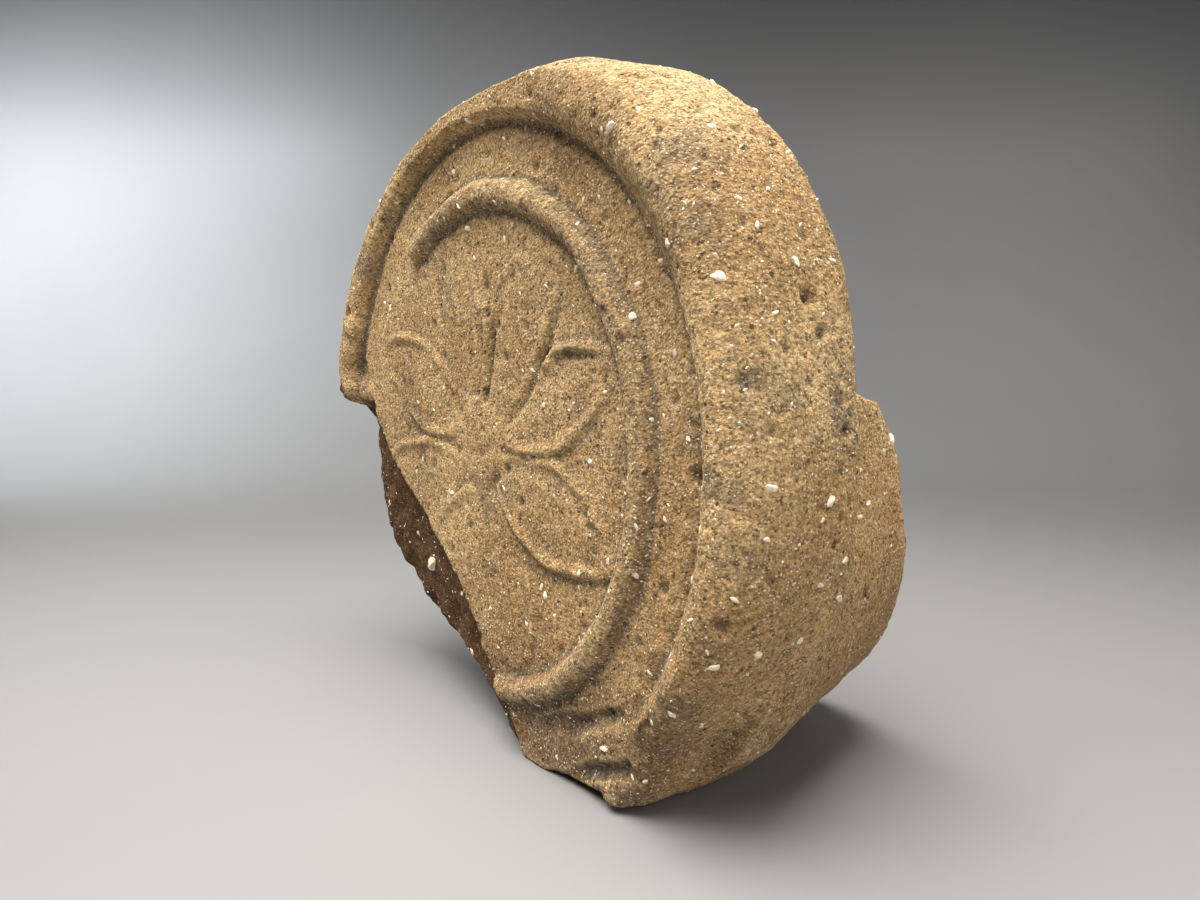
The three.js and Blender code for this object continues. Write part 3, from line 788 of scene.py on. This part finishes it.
class Shade:
    """A short way to write a node tree."""

    def __init__(self, name):
        self.material = bpy.data.materials.new(name)
        self.material.use_nodes = True
        self.tree = self.material.node_tree
        self.shader = self.tree.nodes["Principled BSDF"]
        at = self.node("ShaderNodeTexCoord")
        scale = self.node("ShaderNodeVectorMath")
        scale.operation = "SCALE"
        self.link(at.outputs["Object"], scale.inputs[0])
        scale.inputs["Scale"].default_value = 1000.0
        self.mm = scale.outputs[0]

    def node(self, kind):
        return self.tree.nodes.new(kind)

    def link(self, source, socket):
        if isinstance(source, bpy.types.NodeSocket):
            self.tree.links.new(source, socket)
        else:
            socket.default_value = source

    def moved(self, shift):
        n = self.node("ShaderNodeVectorMath")
        self.link(self.mm, n.inputs[0])
        n.inputs[1].default_value = (shift, 1.7 * shift, 2.3 * shift)
        return n.outputs[0]

    def noise(self, size, detail=2.0, shift=0.0, rough=0.5):
        n = self.node("ShaderNodeTexNoise")
        self.link(self.moved(shift), n.inputs["Vector"])
        n.inputs["Scale"].default_value = 1.0 / size
        n.inputs["Detail"].default_value = detail
        n.inputs["Roughness"].default_value = rough
        return n.outputs[0]

    def cells(self, size, shift=0.0, metric="EUCLIDEAN"):
        """Distance from each grain's middle, and three random numbers per grain."""
        n = self.node("ShaderNodeTexVoronoi")
        n.distance = metric
        self.link(self.moved(shift), n.inputs["Vector"])
        n.inputs["Scale"].default_value = 1.0 / size
        s = self.node("ShaderNodeSeparateColor")
        self.link(n.outputs["Color"], s.inputs[0])
        return n.outputs["Distance"], s.outputs[0], s.outputs[1], s.outputs[2]

    def math(self, op, a, b):
        n = self.node("ShaderNodeMath")
        n.operation = op
        self.link(a, n.inputs[0])
        self.link(b, n.inputs[1])
        return n.outputs[0]

    def step(self, x, low, high):
        """From 0 to 1 as x goes from low to high."""
        n = self.node("ShaderNodeMapRange")
        n.interpolation_type = "SMOOTHSTEP"
        self.link(x, n.inputs["Value"])
        self.link(low, n.inputs["From Min"])
        self.link(high, n.inputs["From Max"])
        return n.outputs[0]

    def mix(self, share, a, b, kind="MIX"):
        n = self.node("ShaderNodeMix")
        n.data_type = "RGBA"
        n.blend_type = kind
        self.link(share, n.inputs[0])
        for value, socket in ((a, n.inputs[6]), (b, n.inputs[7])):
            self.link(value if isinstance(value, bpy.types.NodeSocket) else (*value, 1), socket)
        return n.outputs[2]

    def scaled(self, x, k):
        return self.math("MULTIPLY", x, k)

    def plus(self, *terms):
        total = terms[0]
        for term in terms[1:]:
            total = self.math("ADD", total, term)
        return total

    def tinted(self, colour, where, share, tint):
        """The colour, with a share of the tint where the mask is 1."""
        return self.mix(self.scaled(where, share), colour, tint)

    def attribute(self, name):
        n = self.node("ShaderNodeAttribute")
        n.attribute_name = name
        return n.outputs["Fac"]

    def bump(self, height, distance):
        n = self.node("ShaderNodeBump")
        n.inputs["Strength"].default_value = 1.0
        n.inputs["Distance"].default_value = distance
        self.link(height, n.inputs["Height"])
        self.link(n.outputs[0], self.shader.inputs["Normal"])

    def out(self, name, value):
        self.link(value, self.shader.inputs[name])


def clay_patches(sh, broken):
    """The clay's colour from place to place, before its grains."""
    stub = sh.attribute("stub")
    bulge = sh.attribute("bulge")
    low = sh.math("POWER", sh.attribute("low"), 1.4)
    grey = sh.step(sh.noise(22.0, 4.0, 77.0, 0.6), 0.56, 0.72)
    patchy = sh.step(sh.noise(2.2, 4.0, 15.0, 0.7), 0.36, 0.6)
    # soot and painted shade, broken up into patches
    sooty_and_shaded = sh.math("MULTIPLY", sh.attribute("soot_and_shade"), patchy)
    colour = sh.mix(sh.step(sh.noise(38.0, 3.0, 3.0), 0.38, 0.66), OCHRE, SAND)
    colour = sh.tinted(colour, sh.step(sh.noise(34.0, 3.0, 57.0), 0.5, 0.75), 0.5, RUST)
    colour = sh.tinted(colour, sh.attribute("face"), 0.28, BROWN)
    # painted highlight on the tops that face up
    colour = sh.tinted(colour, sh.attribute("painted_top_light"), 0.5, BUFF_TOP_LIGHT)
    colour = sh.tinted(colour, stub, 0.5, RED)
    # darker towards the bottom: painted shade, with some grime as well
    colour = sh.tinted(colour, low, 0.56, UMBER_SHADE_AND_GRIME)
    # painted shade at the front of the foot, with soot as well
    colour = sh.tinted(colour, sh.attribute("foot"), 0.6, FOOT_SHADE_AND_GRIME)
    colour = sh.tinted(colour, grey, 0.45, ASH)
    colour = sh.tinted(colour, sooty_and_shaded, 0.75, ASH)
    # painted highlight where the clay stands out, and painted shade in its hollows
    colour = sh.tinted(colour, sh.step(bulge, 0.56, 0.85), 0.45, SAND)
    colour = sh.tinted(colour, sh.step(bulge, 0.46, 0.15), 0.6, ASH)
    fresh = sh.tinted(RAW, stub, 0.7, RAW_STUB)
    return sh.mix(broken, colour, fresh)


def clay_grains(sh, colour, old):
    """Sand, crevices, specks and pores over the colour, with painted shade in the crevices and
    pores and painted highlight on the crests; and the height that they give, in mm.
    """
    # sand grains, dark and light, in two sizes
    d1, r1, g1, b1 = sh.cells(0.85, 5.0)
    d2, r2, g2, _ = sh.cells(0.42, 19.0)
    tone = sh.plus(0.42, sh.scaled(r1, 0.46), sh.scaled(r2, 0.78))
    tone_colour = sh.node("ShaderNodeCombineColor")
    for socket in tone_colour.inputs[:3]:
        sh.link(tone, socket)
    colour = sh.mix(1.0, colour, tone_colour.outputs[0], "MULTIPLY")
    dark = sh.math("MULTIPLY", sh.step(g1, 0.88, 0.92), sh.step(d1, 0.5, 0.3))
    colour = sh.tinted(colour, dark, 0.6, PIT_SHADE_AND_DARK_GRAIN)
    # painted shade in the hollows of this bump and painted highlight on its crests, so that colour
    # and bump agree
    rough = sh.noise(1.7, 4.0, 12.0, 0.78)
    colour = sh.tinted(colour, sh.step(rough, 0.42, 0.345), 0.72, PIT_SHADE_AND_DARK_GRAIN)
    ridge = sh.math("MULTIPLY", sh.step(rough, 0.56, 0.68), old)
    colour = sh.tinted(colour, ridge, 0.3, CREAM)
    light = sh.math("MULTIPLY", sh.step(g2, 0.86, 0.92), sh.step(d2, 0.55, 0.3))
    colour = sh.tinted(colour, sh.math("MULTIPLY", light, old), 0.75, CREAM)

    # cream specks
    d3, r3, g3, _ = sh.cells(1.6, 33.0, "MANHATTAN")
    reach = sh.plus(0.08, sh.scaled(g3, 0.22))
    speck = sh.math("MULTIPLY", sh.step(r3, 0.72, 0.73), sh.step(d3, reach, sh.scaled(reach, 0.8)))
    colour = sh.tinted(colour, sh.math("MULTIPLY", speck, old), 0.95, CREAM)

    # pores of uneven shape, painted dark as the shade in them
    d4, r4, g4, _ = sh.cells(2.3, 61.0)
    torn = sh.noise(0.8, 3.0, 61.0, 0.7)
    reach = sh.math("MULTIPLY", g4, sh.scaled(torn, 0.5))
    pore = sh.math("MULTIPLY", sh.step(r4, 0.72, 0.76), sh.step(d4, reach, sh.scaled(reach, 0.6)))
    colour = sh.tinted(colour, pore, 0.8, PIT_SHADE_AND_DARK_GRAIN)

    height = sh.plus(
        sh.scaled(sh.noise(1.5, 4.0, 23.0, 0.7), 0.45),
        sh.scaled(rough, 0.9),
        sh.scaled(sh.step(d1, 0.6, 0.1), sh.scaled(b1, 0.3)),
        sh.scaled(speck, 0.15),
        sh.scaled(pore, -0.5),
        sh.scaled(dark, -0.2),
    )
    return colour, height


def clay_material():
    sh = Shade("fired_clay")
    broken = sh.attribute("broken")
    old = sh.math("SUBTRACT", 1.0, sh.scaled(broken, 0.7))
    colour, height = clay_grains(sh, clay_patches(sh, broken), old)
    sh.out("Base Color", colour)
    fine = sh.noise(0.45, 2.0, 8.0, 0.6)
    sh.bump(sh.plus(sh.scaled(fine, 0.25), height), MM)
    sh.out("Roughness", sh.plus(0.84, sh.scaled(fine, 0.16)))
    sh.shader.inputs["Diffuse Roughness"].default_value = 1.0
    sh.shader.inputs["Specular IOR Level"].default_value = 0.25
    return sh.material


def grit_material():
    sh = Shade("clay_grit")
    stain = sh.step(sh.noise(0.7, 3.0, 4.0, 0.6), 0.42, 0.68)
    colour = sh.mix(sh.attribute("white"), GRIT_DULL, GRIT_WHITE)
    sh.out("Base Color", sh.tinted(colour, stain, 0.5, GRIT_STAIN))
    sh.bump(sh.scaled(sh.noise(0.5, 3.0, 9.0), 0.15), MM)
    sh.out("Roughness", sh.plus(0.7, sh.scaled(stain, 0.2)))
    sh.shader.inputs["Specular IOR Level"].default_value = 0.35
    return sh.material


whole.materials.append(clay_material())
whole.materials.append(grit_material())
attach(tile, "root")
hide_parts("eave_tile")


# ---- Floor, light and camera
def sweep():
    """A floor that turns up into a backdrop behind the tile, in metres."""
    away = Vector((CAMERA_LOOK.x, CAMERA_LOOK.y, 0)).normalized()
    side = Vector((CAMERA_RIGHT.x, CAMERA_RIGHT.y, 0)).normalized()
    start = Vector((CAMERA_AT.x, CAMERA_AT.y, 0)) * MM
    half_width, near_edge, top = 4.0, -4.0, 1.6
    profile = [(near_edge, 0.0), (0.0, 0.0), (0.3, 0.0), (0.5, 0.0)]
    bend, turn = 0.60, 0.32
    for k in range(1, 19):
        a = math.pi / 2 * k / 18
        profile.append((bend + turn * math.sin(a), turn * (1 - math.cos(a))))
    profile.append((bend + turn, top))
    rows, faces = [], []
    for d, z in profile:
        for s in (-half_width, half_width):
            rows.append(tuple(start + away * d + side * s + Vector((0, 0, z))))
    for k in range(len(profile) - 1):
        faces.append((2 * k, 2 * k + 1, 2 * k + 3, 2 * k + 2))
    mesh = bpy.data.meshes.new("studio_floor")
    mesh.from_pydata(rows, [], faces)
    mesh.polygons.foreach_set("use_smooth", [True] * len(faces))
    obj = bpy.data.objects.new("studio_floor", mesh)
    bpy.context.scene.collection.objects.link(obj)
    sh = Shade("studio_floor")
    cloud = sh.noise(90.0, 2.0, 2.0)
    sh.out("Base Color", sh.mix(cloud, FLOOR_DARK, FLOOR_LIGHT))
    sh.out("Roughness", sh.plus(0.38, sh.scaled(cloud, 0.06)))
    mesh.materials.append(sh.material)


def area_light(name, at, target, size, power, colour=(1, 1, 1)):
    light = bpy.data.lights.new(name, "AREA")
    light.shape = "RECTANGLE"
    light.size, light.size_y = size
    light.energy = power
    light.color = colour
    light.spread = math.radians(120)
    obj = bpy.data.objects.new(name, light)
    obj.location = at
    obj.rotation_euler = (Vector(target) - Vector(at)).to_track_quat("-Z", "Y").to_euler()
    bpy.context.scene.collection.objects.link(obj)


def camera():
    data = bpy.data.cameras.new("camera")
    data.sensor_width = 36.0
    data.lens = FOCAL * 36.0 / IMAGE[0]
    data.clip_start = 0.005
    obj = bpy.data.objects.new("camera", data)
    axes = Matrix((CAMERA_RIGHT, CAMERA_UP, -CAMERA_LOOK)).transposed().to_4x4()
    obj.matrix_world = Matrix.Translation(CAMERA_AT * MM) @ axes
    bpy.context.scene.collection.objects.link(obj)
    bpy.context.scene.camera = obj


sweep()
camera()
scene = bpy.context.scene
scene.view_settings.view_transform = "Standard"
world = bpy.data.worlds.new("studio")
world.use_nodes = True
world.node_tree.nodes["Background"].inputs[0].default_value = (0.86, 0.9, 1.0, 1)
world.node_tree.nodes["Background"].inputs[1].default_value = 0.09
scene.world = world
area_light("key", (0.05, -0.17, 0.59), (0.0, 0.0, 0.07), (0.5, 0.5), 5.4, (1, 0.965, 0.91))
area_light("side_fill", (0.7, 0.0, 0.32), (0.0, 0.0, 0.07), (0.5, 0.5), 0.85, (1, 0.96, 0.91))
area_light("glow", (-0.65, -0.25, 0.35), (-0.9, 0.1, 0.08), (0.5, 0.2), 2.5, (0.94, 0.97, 1))
area_light("glow_right", (0.10, 0.62, 0.35), (-0.25, 0.85, 0.08), (0.5, 0.2), 0.4, (1, 0.98, 0.95))
